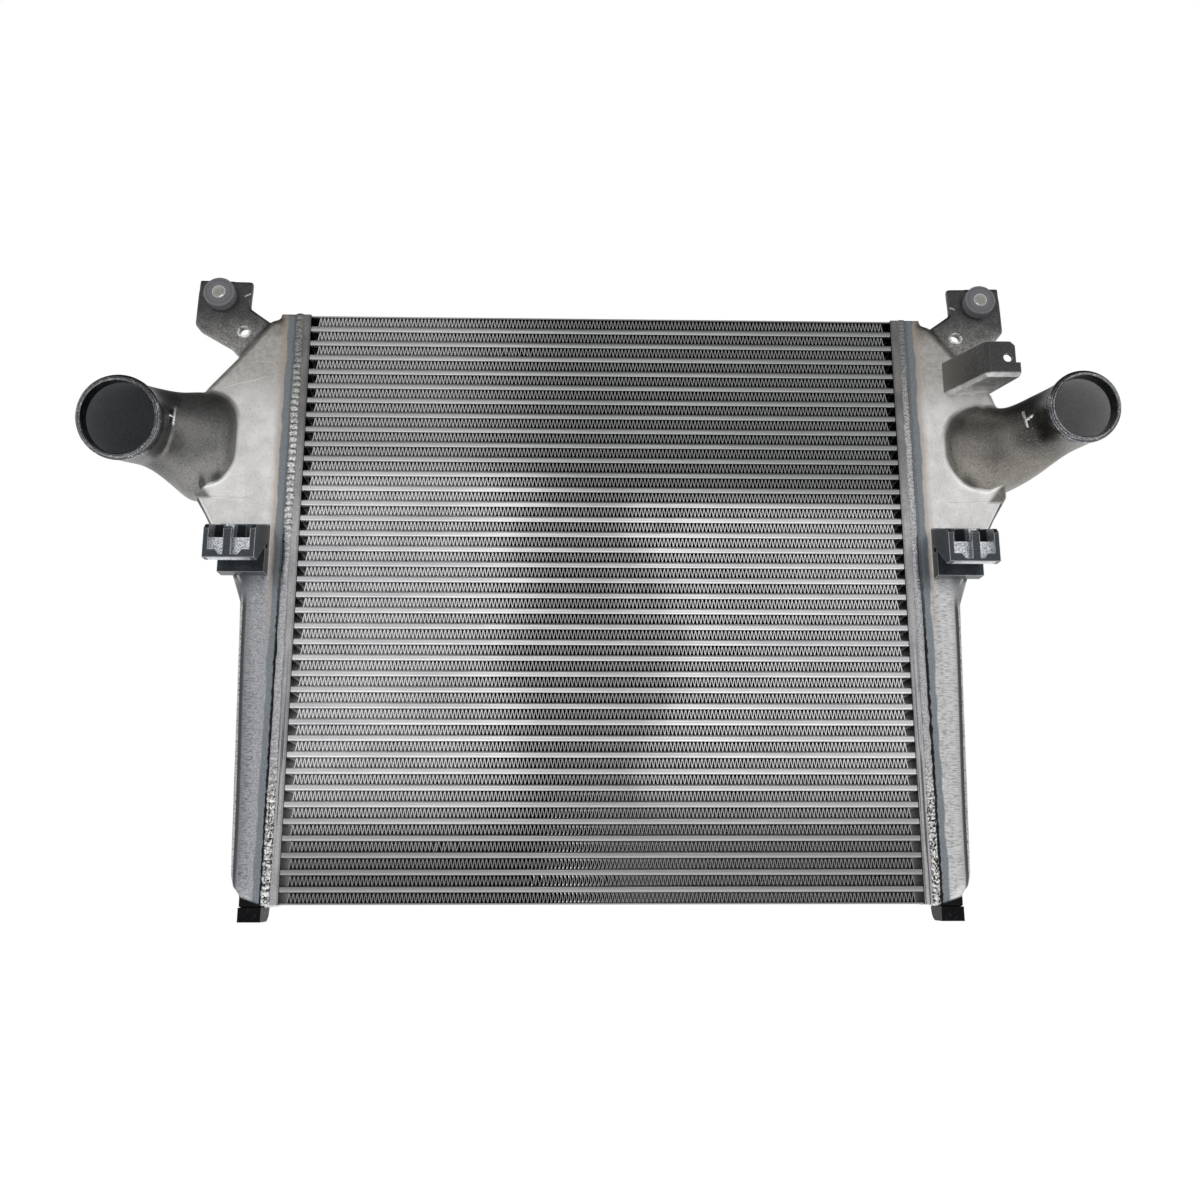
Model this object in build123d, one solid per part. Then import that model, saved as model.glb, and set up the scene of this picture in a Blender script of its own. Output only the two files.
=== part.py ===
from build123d import *
import os
from dataclasses import dataclass
from math import cos, hypot, radians, sin, tan

# Charge-air cooler (intercooler) of a pickup truck, in millimetres.
# +Z is up and -Y is the front. The origin is halfway between the two upper
# mounting holes, on the front faces of their bushes, so the whole cooler hangs below it.

# ---- core ----
core_width = 680.0  # between the two header webs
core_depth = 56.0
core_front_y = 12.0
core_top_z = -24.0
tube_count = 37
tube_thickness = 7.0
tube_nose_chamfer = 2.2
tube_wall = 1.0
tube_nose_wall = 4.0
fin_height = 10.7
fin_sheet = 0.8
fin_folds = 3  # whole V folds in a strip, far coarser than the real pitch of 4.2
fin_set_back = 1.5  # fins stand behind the tube noses, front and back
fin_end_gap = 8.0  # bare tube between a fin strip and the header
side_plate_thickness = 1.5

# ---- headers ----
header_thickness = 3.0
header_lip = 4.0  # how far the header stands out past the core, front and back
header_flange = 13.0

# ---- end tanks ----
tank_wall = 4.5
tank_face_step = 2.0  # the tank's face stands this far proud of the header
tank_rim_length = 15.0
tank_edge_radius = 7.0
tank_rear_bevel = 4.0
# Outline from the top inboard corner round the outer edge to the bottom inboard
# corner: outboard of the header's rim, and height above the origin.
tank_outline = [
    (33.0, -32.0),
    (67.0, -76.0),
    (102.0, -117.0),
    (110.0, -140.0),
    (110.0, -242.0),
    (94.0, -268.0),
    (59.0, -336.0),
    (48.0, -368.0),
    (39.0, -656.0),
    (30.0, -681.0),
]

# ---- weld beads between header and tank ----
bead_width = 8.0
bead_height = 2.0

# ---- ears and their bushes ----
bush_head_radius = 18.0
bush_head_length = 12.0
bush_shank_radius = 12.0
bush_hole_radius = 7.0
bush_chamfer = 1.0
ear_thickness = 9.0
ear_hole_out = 93.7  # each place called out lies this far outboard of the header's rim
ear_outline = [
    (21.0, -36.0),
    (34.0, -33.0),
    (59.5, -14.5),
    (58.5, 19.5),
    (120.5, 21.0),
    (122.5, -35.0),
    (115.0, -44.0),
    (78.5, -65.5),
    (67.0, -76.0),
    (52.0, -80.0),
]
stud_hole_out = 64.6
stud_hole_z = -44.2
stud_hole_radius = 6.0
stud_rim_width = 1.8
stud_rim_height = 1.5

# ---- hose necks ----
neck_tilt = 13.0  # the mouths look down by this many degrees
neck_bead_length = 6.0
lead_in = 1.0

duct_mid_y = 26.0  # centre of the elbow's root, front to back
duct_start_out = 77.0
root_length = 34.0
bulge_proud = 1.0  # how far the housing's front stands before the elbow's side
bend_steps = 7  # straight lengths that the outside of the bend is made of
bore_steps = 3  # and its bore

# ---- pocket brackets, halfway down each tank ----
pocket_out = 18.5
pocket_width = 55.0
pocket_bottom_z = -334.0
pocket_reach = 60.0
pocket_wall = 5.5
pocket_wall_front_height = 38.0
pocket_wall_rear_height = 53.0
pocket_rib = 8.5
pocket_rib_out = 48.0
pocket_box_depth = 12.0
pocket_arm_height = 17.0
pocket_nose = 6.0
pocket_plate_thickness = 5.0
pocket_lip_height = 9.0
pocket_lip_thickness = 3.5
pocket_back_height = 24.0
pocket_notch_width = 28.0
pocket_notch_depth = 6.0
pocket_notch_slope = 0.7  # how far its sides run in for each millimetre down
pocket_base_width = 51.0
pocket_base_drop = 5.0
pocket_base_height = 28.0
pocket_base_thickness = 17.0

# ---- box bracket on the right tank ----
box_out = 44.0
box_base_width = 48.0
box_height = 41.0
box_bottom_z = -120.0
box_reach = 61.0
box_lean = 31.0
box_front_width = 38.0
box_wall = 4.0
box_bend = 4.0  # bevel between the front plate, the side and the floor
box_step_width = 5.0  # by which the front plate is narrower above its lower part
box_step_z = -104.0
box_corner = 5.0
box_hole_radius = 5.0
box_hole_out = 99.0
box_hole_z = -98.5

# ---- feet ----
foot_out = 4.0
foot_width = 24.0
foot_depth = 38.0
foot_front_y = 8.0
foot_wall = 4.0
foot_height = 15.0  # of the rubber, below the shoulder it seats on
foot_seat_drop = 2.4  # from the core's lower edge to that shoulder
foot_shoulder = 20.0
foot_rear_radius = 14.0

# ---- derived places ----
tube_bore_height = tube_thickness - 2 * tube_wall
tube_bore_depth = core_depth - 2 * tube_nose_wall
tube_pitch = tube_thickness + fin_height
core_height = tube_count * tube_pitch + fin_height + 2 * side_plate_thickness
core_bottom_z = core_top_z - core_height
core_mid_z = (core_top_z + core_bottom_z) / 2
core_mid_y = core_front_y + core_depth / 2
header_inner_x = core_width / 2
header_depth = core_depth + 2 * header_lip
rim_x = header_inner_x + header_flange
tank_depth = header_depth + 2 * tank_face_step
tank_front_y = core_mid_y - tank_depth / 2
tank_side_x = rim_x + max(out for out, z in tank_outline)
ear_hole_x = rim_x + ear_hole_out
stud_hole_x = rim_x + stud_hole_out
duct_start_x = rim_x + duct_start_out
pocket_inner_x = rim_x + pocket_out
pocket_rib_x = rim_x + pocket_rib_out
box_inner_x = rim_x + box_out
box_hole_x = rim_x + box_hole_out
foot_inner_x = rim_x + foot_out
foot_seat_z = core_bottom_z - foot_seat_drop
foot_bottom_z = foot_seat_z - foot_height
ear_front_y = bush_head_length


def save(shape, name):
    export_step(shape, f"parts/{name}.step")


def left(shape):
    return mirror(shape, about=Plane.YZ)


def block(x0, x1, y0, y1, z0, z1):
    """A box between two corners."""
    return Pos((x0 + x1) / 2, (y0 + y1) / 2, (z0 + z1) / 2) * Box(x1 - x0, y1 - y0, z1 - z0)


def front_prism(points, y0, y1):
    """A prism whose outline is given as (x, z) points, between two depths."""
    face = make_face(Polyline(points, close=True))
    # The XZ plane's normal is -Y, so the outline is drawn at y1 and drawn out to y0.
    return extrude(Plane.XZ.offset(-y1) * face, y1 - y0)


def tube_z(index):
    """Centre height of a tube, counted from the top."""
    first = core_top_z - side_plate_thickness - fin_height - tube_thickness / 2
    return first - index * tube_pitch


def core_tube(index):
    """A flat extruded tube with chamfered noses, open from end to end."""
    outline = Rectangle(core_depth, tube_thickness)
    outline = chamfer(outline.vertices(), tube_nose_chamfer)
    bore = Rectangle(tube_bore_depth, tube_bore_height)
    section = Plane.YZ.offset(-header_inner_x) * (outline - bore)
    return Pos(0, core_mid_y, tube_z(index)) * extrude(section, core_width)


def fin_strip(row):
    """One folded strip, filling the height between two tubes."""
    top = core_top_z - side_plate_thickness - row * tube_pitch
    bottom = top - fin_height
    length = core_width - 2 * fin_end_gap
    step = length / (2 * fin_folds)
    left_x = -length / 2
    upper = []
    lower = []
    for fold in range(2 * fin_folds + 1):
        x = left_x + fold * step
        if fold % 2 == 0:
            upper.append((x, bottom + fin_sheet))
            lower.append((x, bottom))
        else:
            upper.append((x, top))
            lower.append((x, top - fin_sheet))
    face = make_face(Polyline(upper + lower[::-1], close=True))
    y1 = core_front_y + core_depth - fin_set_back
    return extrude(Plane.XZ.offset(-y1) * face, core_depth - 2 * fin_set_back)


def header():
    """The right-hand header: a web with a port for each tube, and a flange all round."""
    top = core_top_z
    bottom = core_bottom_z
    y0 = core_mid_y - header_depth / 2
    y1 = core_mid_y + header_depth / 2
    tray = block(header_inner_x, rim_x, y0, y1, bottom, top)
    inside = block(
        header_inner_x + header_thickness,
        rim_x,
        y0 + header_thickness,
        y1 - header_thickness,
        bottom + header_thickness,
        top - header_thickness,
    )
    port = Box(2 * header_thickness, tube_bore_depth, tube_bore_height)
    ports = [Pos(header_inner_x, core_mid_y, tube_z(i)) * port for i in range(tube_count)]
    return tray - inside - ports


def weld_bead():
    """The bead round the joint between the right-hand header and its tank."""
    across = Plane.YZ.offset(rim_x - bead_width / 2)
    middle = Pos(core_mid_y, core_mid_z)
    outside = middle * Rectangle(header_depth + 2 * bead_height, core_height + 2 * bead_height)
    outside = chamfer(outside.vertices(), bead_height)
    inside = middle * Rectangle(header_depth, core_height)
    return extrude(across * (outside - inside), bead_width)


@dataclass
class Duct:
    """A tank's hose neck and the elbow behind it, drawn for the right-hand side."""

    outside_diameter: float
    wall: float
    bead: float
    mouth_out: float
    mouth_forward: float
    mouth_drop: float
    rise: float  # how steeply the elbow climbs as it leaves the tank, in degrees
    bend_radius: float
    root_height: float  # of the flare that joins the elbow to the tank's side
    bulge_out: float
    bulge_bottom_z: float
    bulge_top_z: float
    bulge_corner: float
    bulge_edge: float

    @property
    def radius(self):
        return self.outside_diameter / 2

    @property
    def mouth(self):
        """The centre of the open end."""
        return Vector(rim_x + self.mouth_out, -self.mouth_forward, -self.mouth_drop)

    @property
    def bulge_inner_x(self):
        return rim_x + self.bulge_out

    @property
    def leaving(self):
        """The direction in which the elbow leaves the tank."""
        return Vector(cos(radians(self.rise)), 0, sin(radians(self.rise)))

    @property
    def facing(self):
        """The direction that the mouth looks in."""
        return Vector(0, -cos(radians(neck_tilt)), -sin(radians(neck_tilt)))

    @property
    def knee(self):
        """Where the centre lines of the neck and of the elbow's root cross."""
        reach = (duct_mid_y - self.mouth.Y) / -self.facing.Y
        return self.mouth - self.facing * reach

    @property
    def bend_start(self):
        """Where the elbow's bend begins, on the root's centre line."""
        half_turn = self.leaving.get_angle(self.facing) / 2
        return self.knee - self.leaving * self.bend_radius * tan(radians(half_turn))

    @property
    def root(self):
        """The inner end of the centre line, inside the tank."""
        return self.knee - self.leaving * ((self.knee.X - duct_start_x) / self.leaving.X)


left_duct = Duct(
    outside_diameter=88.9,
    wall=4.5,
    bead=1.8,
    mouth_out=172.6,
    mouth_forward=63.0,
    mouth_drop=180.6,
    rise=13.0,
    bend_radius=52.0,
    root_height=114.0,
    bulge_out=62.5,
    bulge_bottom_z=-239.0,
    bulge_top_z=-120.0,
    bulge_corner=36.0,
    bulge_edge=16.0,
)
right_duct = Duct(
    outside_diameter=76.2,
    wall=3.6,
    bead=2.2,
    mouth_out=172.5,
    mouth_forward=78.0,
    mouth_drop=164.2,
    rise=30.0,
    bend_radius=45.0,
    root_height=100.0,
    bulge_out=41.0,
    bulge_bottom_z=-240.0,
    bulge_top_z=-128.0,
    bulge_corner=44.0,
    bulge_edge=18.0,
)


def round_bars(points, radius):
    """Straight round bars from point to point, cut to meet on their mitres."""
    headings = [(end - start).normalized() for start, end in zip(points, points[1:])]
    bars = []
    for index, heading in enumerate(headings):
        start = points[index] - heading * radius
        length = (points[index + 1] - points[index]).length + 2 * radius
        bar = Plane(start + heading * length / 2, z_dir=heading) * Cylinder(radius, length)
        before = headings[index - 1] if index else heading
        after = headings[index + 1] if index + 1 < len(headings) else heading
        bar = split(bar, bisect_by=Plane(points[index], z_dir=before + heading), keep=Keep.TOP)
        end_cut = Plane(points[index + 1], z_dir=heading + after)
        bars.append(split(bar, bisect_by=end_cut, keep=Keep.BOTTOM))
    return bars


def duct_bars(duct, radius, steps, past_mouth=0.0):
    """The duct from inside the tank to its mouth, its bend made of short straight steps."""
    path = FilletPolyline(duct.root, duct.knee, duct.mouth, radius=duct.bend_radius)
    bend = path.edges().filter_by(GeomType.CIRCLE)[0]
    turns = [bend @ (step / steps) for step in range(steps + 1)]
    bars = round_bars([duct.root, *turns, duct.mouth + duct.facing * past_mouth], radius)
    return bars[0] + bars[1:]


def root_flare(duct):
    """The flare from the tall section at the tank's side to the start of the bend."""
    narrow = Plane(duct.bend_start, x_dir=(0, 1, 0), z_dir=duct.leaving)
    wide = narrow.offset(-root_length)
    tall = wide * Ellipse(duct.radius, duct.root_height / 2)
    return loft([tall, narrow * Circle(duct.radius)], ruled=True)


def hose_bead(duct):
    """The raised ring that holds the hose on."""
    ring = Cylinder(duct.radius + duct.bead, neck_bead_length)
    ring = chamfer(ring.edges().filter_by(GeomType.CIRCLE), duct.bead)
    back = lead_in + neck_bead_length / 2
    return Plane(duct.mouth, x_dir=(1, 0, 0), z_dir=duct.facing) * Pos(0, 0, -back) * ring


def bulge_front_y(duct):
    return duct_mid_y - duct.radius - bulge_proud


def bevel_front(solid, bevel):
    """Bevel the front's edges, all but those on the outboard side."""
    side = solid.faces().sort_by(Axis.X)[-1].edges()
    front = [e for e in solid.faces().sort_by(Axis.Y)[0].edges() if e not in side]
    return chamfer(front, bevel)


def bulge(duct):
    """The housing on the tank's face that the elbow grows out of, rounded inboard."""
    solid = block(
        duct.bulge_inner_x,
        tank_side_x,
        bulge_front_y(duct),
        core_mid_y,
        duct.bulge_bottom_z,
        duct.bulge_top_z,
    )
    solid = fillet(solid.edges().filter_by(Axis.Y).group_by(Axis.X)[0], duct.bulge_corner)
    return bevel_front(solid, duct.bulge_edge)


def bulge_hollow(duct):
    """The room inside the housing, bevelled where the housing is rounded."""
    hollow = block(
        duct.bulge_inner_x + tank_wall,
        tank_side_x - tank_wall,
        bulge_front_y(duct) + tank_wall,
        core_mid_y,
        duct.bulge_bottom_z + tank_wall,
        duct.bulge_top_z - tank_wall,
    )
    hollow = chamfer(hollow.edges().filter_by(Axis.Y).group_by(Axis.X)[0], duct.bulge_corner / 2)
    return bevel_front(hollow, duct.bulge_edge)


def tank_body(inset):
    """The tank's box, its surface set in by a wall and open towards the header."""
    inboard_x = rim_x + tank_rim_length
    points = [(inboard_x, core_top_z - tank_face_step)]
    points += [(rim_x + out, z) for out, z in tank_outline]
    points.append((inboard_x, core_bottom_z + tank_face_step))
    face = make_face(Polyline(points, close=True))
    if inset:
        face = offset(face, -inset, kind=Kind.INTERSECTION)
    depth = tank_depth - 2 * inset
    y1 = core_mid_y + depth / 2
    return extrude(Plane.XZ.offset(-y1) * face, depth)


def rounded_tank_body():
    """The tank's box, its edges rounded at the front and bevelled at the back."""
    solid = tank_body(0)
    shared = solid.faces().sort_by(Axis.X)[0].edges()
    front = [e for e in solid.faces().sort_by(Axis.Y)[0].edges() if e not in shared]
    solid = fillet(front, tank_edge_radius)
    inboard = solid.faces().sort_by(Axis.X)[0].edges()
    rear = [e for e in solid.faces().sort_by(Axis.Y)[-1].edges() if e not in inboard]
    return chamfer(rear, tank_rear_bevel)


def ear():
    """The mounting ear at the tank's top, with the bush's seat and the rimmed stud hole."""
    y1 = ear_front_y + ear_thickness
    plate = front_prism([(rim_x + out, z) for out, z in ear_outline], ear_front_y, y1)
    stud = Plane.XZ.offset(-y1) * Pos(stud_hole_x, stud_hole_z)
    rim = extrude(stud * Circle(stud_hole_radius + stud_rim_width), ear_thickness + stud_rim_height)
    bush = Plane.XZ.offset(-y1) * Pos(ear_hole_x, 0)
    seat = extrude(bush * Circle(bush_shank_radius), ear_thickness)
    hole = extrude(stud * Circle(stud_hole_radius), ear_thickness + stud_rim_height)
    return plate + rim - seat - hole


def foot_lug():
    """The shoulder and the tongue under the tank that the rubber foot is pushed onto."""
    shoulder = block(*foot_span(0), foot_seat_z, foot_seat_z + foot_shoulder)
    tongue = block(*foot_span(foot_wall), foot_bottom_z + foot_wall, foot_seat_z)
    return shoulder + tongue


def foot_span(inset):
    """The foot's extent in X and Y, its surface set in by a wall."""
    return (
        foot_inner_x + inset,
        foot_inner_x + foot_width - inset,
        foot_front_y + inset,
        foot_front_y + foot_depth - inset,
    )


def rubber_foot():
    """The rubber boot over the lug, with its lower rear edge rounded off."""
    boot = block(*foot_span(0), foot_bottom_z, foot_seat_z)
    lower_rear = boot.edges().filter_by(Axis.X).group_by(Axis.Z)[0].sort_by(Axis.Y)[-1]
    boot = fillet(lower_rear, foot_rear_radius)
    return boot - block(*foot_span(foot_wall), foot_bottom_z + foot_wall, foot_seat_z)


def end_tank(duct):
    """A cast tank with its duct, ear and foot lug, drawn for the right-hand side."""
    half = header_depth / 2
    rim_end = rim_x + tank_rim_length + tank_edge_radius
    rim = block(rim_x, rim_end, core_mid_y - half, core_mid_y + half, core_bottom_z, core_top_z)
    hollow = half - tank_wall
    rim_hollow = block(
        rim_x,
        rim_end + tank_edge_radius,
        core_mid_y - hollow,
        core_mid_y + hollow,
        core_bottom_z + tank_wall,
        core_top_z - tank_wall,
    )
    solid = rounded_tank_body() + rim + ear() + foot_lug()
    solid += bulge(duct) + root_flare(duct) + duct_bars(duct, duct.radius, bend_steps)
    solid += hose_bead(duct)
    bore = duct_bars(duct, duct.radius - duct.wall, bore_steps, past_mouth=1.0)
    cavity = bore + bulge_hollow(duct) + tank_body(tank_wall) + rim_hollow
    return solid - cavity


def mount_bush():
    """A headed bush, pressed into the ear from the front."""
    y1 = ear_front_y + ear_thickness
    back = Plane.XZ.offset(-y1) * Pos(ear_hole_x, 0)
    seat = Plane.XZ.offset(-ear_front_y) * Pos(ear_hole_x, 0)
    head = extrude(seat * Circle(bush_head_radius), bush_head_length)
    front = head.edges().filter_by(GeomType.CIRCLE).sort_by(Axis.Y)[0]
    head = chamfer(front, bush_chamfer)
    shank = extrude(back * Circle(bush_shank_radius), ear_thickness)
    hole = extrude(back * Circle(bush_hole_radius), ear_thickness + bush_head_length)
    return head + shank - hole


def side_plate(top_z):
    """A plain sheet that closes the top or the bottom of the core."""
    y1 = core_front_y + core_depth
    return block(
        -header_inner_x, header_inner_x, core_front_y, y1, top_z - side_plate_thickness, top_z
    )


def pocket_arm(x0, x1):
    """One of the upright walls that carry the pocket in front of the tank."""
    front_y = tank_front_y - pocket_reach
    top_z = pocket_bottom_z + pocket_wall_front_height
    rear_top_z = pocket_bottom_z + pocket_wall_rear_height
    profile = [
        (front_y, pocket_bottom_z),
        (front_y, top_z - pocket_nose),
        (front_y + pocket_nose, top_z),
        (tank_front_y, rear_top_z),
        (tank_front_y, rear_top_z - pocket_arm_height),
        (front_y + pocket_box_depth + pocket_nose, pocket_bottom_z + pocket_nose),
        (front_y + pocket_box_depth, pocket_bottom_z),
    ]
    face = make_face(Polyline(profile, close=True))
    return extrude(Plane.YZ.offset(x0) * face, x1 - x0)


def pocket_bracket():
    """A slide-in pocket held out in front of the tank, with the block that carries it."""
    x0 = pocket_inner_x
    x1 = x0 + pocket_width
    front_y = tank_front_y - pocket_reach
    back_y = front_y + pocket_box_depth
    base_z = pocket_bottom_z - pocket_base_drop
    base = block(
        x0,
        x0 + pocket_base_width,
        tank_front_y - pocket_base_thickness,
        tank_front_y,
        base_z,
        base_z + pocket_base_height,
    )
    wing = block(
        x0,
        x1,
        tank_front_y - pocket_plate_thickness,
        tank_front_y,
        base_z + pocket_base_height,
        pocket_bottom_z + pocket_wall_rear_height,
    )
    floor = block(x0, x1, front_y, back_y, pocket_bottom_z, pocket_bottom_z + pocket_lip_thickness)
    lip_top = pocket_bottom_z + pocket_lip_height
    lip = block(x0, x1, front_y, front_y + pocket_lip_thickness, pocket_bottom_z, lip_top)
    middle_x = (x0 + x1) / 2
    half = pocket_notch_width / 2
    slope = pocket_notch_depth * pocket_notch_slope
    notch = front_prism(
        [
            (middle_x - half, lip_top),
            (middle_x + half, lip_top),
            (middle_x + half - slope, lip_top - pocket_notch_depth),
            (middle_x - half + slope, lip_top - pocket_notch_depth),
        ],
        front_y,
        front_y + pocket_lip_thickness,
    )
    back = block(
        x0,
        x1,
        back_y - pocket_lip_thickness,
        back_y,
        pocket_bottom_z,
        pocket_bottom_z + pocket_back_height,
    )
    arms = pocket_arm(x0, x0 + pocket_wall) + pocket_arm(x1 - pocket_wall, x1)
    rib = pocket_arm(pocket_rib_x - pocket_rib / 2, pocket_rib_x + pocket_rib / 2)
    slot = block(
        x0 + pocket_wall,
        x1 - pocket_wall,
        front_y + pocket_lip_thickness,
        back_y - pocket_lip_thickness,
        pocket_bottom_z + pocket_lip_thickness,
        pocket_bottom_z + pocket_wall_rear_height,
    )
    return base + wing + floor + back + arms + (rib - slot) + (lip - notch)


def box_prism(wall, bottom_z):
    """The leaning box from above, its left side and front set in by a wall."""
    back_y = tank_front_y
    front_y = tank_front_y - box_reach + wall
    side = wall * hypot(box_lean, box_reach) / box_reach
    left_x = box_inner_x + side
    front_left_x = left_x + box_lean * (back_y - front_y) / box_reach
    right_x = box_inner_x + box_base_width + side
    front_right_x = box_inner_x + box_lean + box_front_width + side
    outline = [(left_x, back_y), (right_x, back_y), (front_right_x, front_y), (front_left_x, front_y)]
    face = make_face(Polyline(outline, close=True))
    return extrude(Plane.XY.offset(bottom_z) * face, box_bottom_z + box_height - bottom_z)


def box_bracket():
    """An open box that leans outboard from the right tank's face."""
    front_y = tank_front_y - box_reach
    right_x = box_inner_x + box_lean + box_front_width
    top_z = box_bottom_z + box_height
    outside = box_prism(0, box_bottom_z)
    front = outside.faces().sort_by(Axis.Y)[0].edges()
    floor = outside.faces().sort_by(Axis.Z)[0].edges()
    bends = [front.sort_by(Axis.X)[0], front.sort_by(Axis.Z)[0], floor.sort_by(Axis.X)[0]]
    outside = chamfer(bends, box_bend)
    step = block(
        right_x - box_step_width, right_x, front_y, front_y + box_wall, box_step_z, top_z
    )
    hole_at = Plane.XZ.offset(-tank_front_y) * Pos(box_hole_x, box_hole_z)
    hole = extrude(hole_at * Circle(box_hole_radius), box_reach)
    bracket = outside - box_prism(box_wall, box_bottom_z + box_wall) - step - hole
    plate = bracket.edges().filter_by(Axis.Y).group_by(Axis.Z)[-1]
    return chamfer(plate.sort_by(Axis.X)[-1], box_corner)


os.makedirs("parts", exist_ok=True)
for index in range(tube_count):
    save(core_tube(index), f"core_tube_{index + 1:02d}")
save(Compound([fin_strip(row) for row in range(tube_count + 1)]), "core_fins")
save(side_plate(core_top_z), "side_plate_top")
save(side_plate(core_bottom_z + side_plate_thickness), "side_plate_bottom")
save(box_bracket(), "box_bracket_right")
save(Compound([left(mount_bush()), mount_bush()]), "mount_bushes")
pairs = {
    "header": (header(), header()),
    "weld_bead": (weld_bead(), weld_bead()),
    "end_tank": (end_tank(left_duct), end_tank(right_duct)),
    "pocket_bracket": (pocket_bracket(), pocket_bracket()),
    "rubber_foot": (rubber_foot(), rubber_foot()),
}
for name, (left_one, right_one) in pairs.items():
    save(left(left_one), f"{name}_left")
    save(right_one, f"{name}_right")
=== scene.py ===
"""A charge-air cooler: tube and fin core, two cast end tanks, on plain white."""

import math
import random

import bmesh
import bpy
from mathutils import Matrix, Vector, noise

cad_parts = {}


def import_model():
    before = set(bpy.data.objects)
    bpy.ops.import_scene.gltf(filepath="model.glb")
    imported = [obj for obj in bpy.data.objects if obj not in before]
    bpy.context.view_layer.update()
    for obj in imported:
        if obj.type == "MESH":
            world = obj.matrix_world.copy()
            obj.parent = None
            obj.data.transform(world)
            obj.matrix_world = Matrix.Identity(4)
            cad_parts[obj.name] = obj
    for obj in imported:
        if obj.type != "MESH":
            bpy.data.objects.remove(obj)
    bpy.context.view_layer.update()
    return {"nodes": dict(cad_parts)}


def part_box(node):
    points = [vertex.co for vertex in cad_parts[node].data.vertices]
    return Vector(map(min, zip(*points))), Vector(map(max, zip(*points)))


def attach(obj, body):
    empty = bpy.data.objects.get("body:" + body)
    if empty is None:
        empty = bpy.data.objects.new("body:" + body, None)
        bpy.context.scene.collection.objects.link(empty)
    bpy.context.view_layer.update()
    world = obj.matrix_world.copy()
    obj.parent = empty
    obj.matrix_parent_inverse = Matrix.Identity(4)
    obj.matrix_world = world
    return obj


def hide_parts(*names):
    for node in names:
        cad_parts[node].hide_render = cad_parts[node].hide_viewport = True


MM = 0.001

# ---- the camera, from the photograph ----
CAMERA_PLACE = (-36.6 * MM, -1290.2 * MM, -664.1 * MM)
CAMERA_YAW = 1.47  # degrees to the right
CAMERA_PITCH = 12.99  # degrees up
CAMERA_ROLL = -0.07
LENS_TO_SENSOR = 1.0  # focal length over the width of the square frame
SENSOR = 36

# ---- core ----
FIN_PITCH = 4.2
FIN_SHEET = 0.65  # as its front edge catches the light
LOOSE_FOLD = 0.05  # how far a fold's front edge strays, as a part of the folds' spacing
KNOCKED_FOLD = 0.45  # the same where it is knocked about
# Those places: row, middle x and half width.
NICKS = [(27, -248, 6), (34, -174, 24), (2, -100, 18), (36, -69, 7), (36, 5, 8), (36, 168, 8)]
NOSE_SEGMENTS = 14
NOSE_LENGTH = 2.2
NOSE_SQUARENESS = 3.0
FIN_SWEEP = 2.4  # how far a fin's middle stands aside of its ends, as in a wavy fin

# ---- end tanks, in millimetres, drawn for the right-hand side ----
CASTING, EAR, TURNED, MARKS, BORE = range(5)  # the order of a tank's materials
VOXEL = 2.0  # of the remesh that melts a tank's pieces into one skin
RIM_END_X = 368.0
TANK_OUTLINE = [
    (RIM_END_X, -26.0), (386.0, -32.0), (420.0, -76.0), (455.0, -117.0), (463.0, -140.0),
    (463.0, -242.0), (447.0, -268.0), (412.0, -336.0), (401.0, -368.0),
    (391.6, -662.0), (388.5, -674.0), (382.0, -682.0), (RIM_END_X, -690.6),
]
TANK_FRONT_Y = 6.0
TANK_BACK_Y = 74.0
FRONT_ROUND = 7.0
BACK_ROUND = 4.0
RIM = ((353.0, 8.0, -692.6), (375.0, 72.0, -24.0))  # corners of the block by the weld
EAR_OUTLINE = [
    (374.0, -40.0), (387.0, -33.0), (412.5, -14.5), (411.5, 19.5), (473.5, 21.0),
    (475.5, -35.0), (468.0, -44.0), (431.5, -65.5), (420.0, -78.0), (405.0, -84.0),
]
# The raised dash on the ear, left and right.
EAR_DASH = {
    -1: [(419.5, 11.9, 0.0), (416.0, 11.7, 1.8), (412.6, 11.9, 3.5)],
    1: [(419.0, 11.9, -7.3), (416.0, 11.7, -6.0), (412.8, 11.9, -5.2)],
}
EAR_FRONT_Y = 12.0
EAR_BACK_Y = 21.0
EAR_ROUND = 1.5
EAR_SEAM = ((386.0, -33.0), (424.0, -79.0))  # two points of its seam with the tank
EAR_LOWEST_Z = -95.0
FOOT_SHOULDER = ((357.0, 8.0, -695.0), (381.0, 46.0, -675.0))  # corners as well
BUSH_PLACE = (446.7, 0.0)
BUSH_SEAT_RADIUS = 12.0
STUD_PLACE = (417.6, -44.2)
STUD_RADIUS = 6.0
# Thin casting lines on the tank's front face.
CREASES = [
    [(400.0, 6.0, -84.0), (392.0, 6.0, -84.6), (381.0, 6.0, -84.8)],
    [(437.0, 6.0, -117.0), (420.0, 6.0, -112.0), (402.0, 6.0, -108.0), (388.0, 6.0, -103.0)],
    [(448.0, 6.0, -248.0), (420.0, 6.0, -249.0), (395.0, 6.0, -249.5)],
]
DUCT_MID_Y = 26.0
DUCT_STEPS = 40  # stretches of the root and the bend
HOUSING_STEPS = 16  # stretches of the rounded housing before them
HOUSING_EDGE = 20.0
HOUSING_POWER = 2.5  # its squareness: 2 is an ellipse
HEIGHT_BLEND = 3.5  # rounds the change from the listed silhouette to the neck's radius
HEIGHT_SMOOTHINGS = 12
BORE_STEPS = 24
BORE_START = 3  # steps from the housing's closed end
BORE_PLAY = 0.4
BORE_ZONE = (400.0, 68.0, 10.0)  # least x, greatest y, and height beyond the housing
NECK_TURNED = 16.0  # length of the neck that is turned, behind the mouth
NIB_BAR, NIB_STEM = 2.5, 1.9  # radii of the raised mark on a bend

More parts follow.
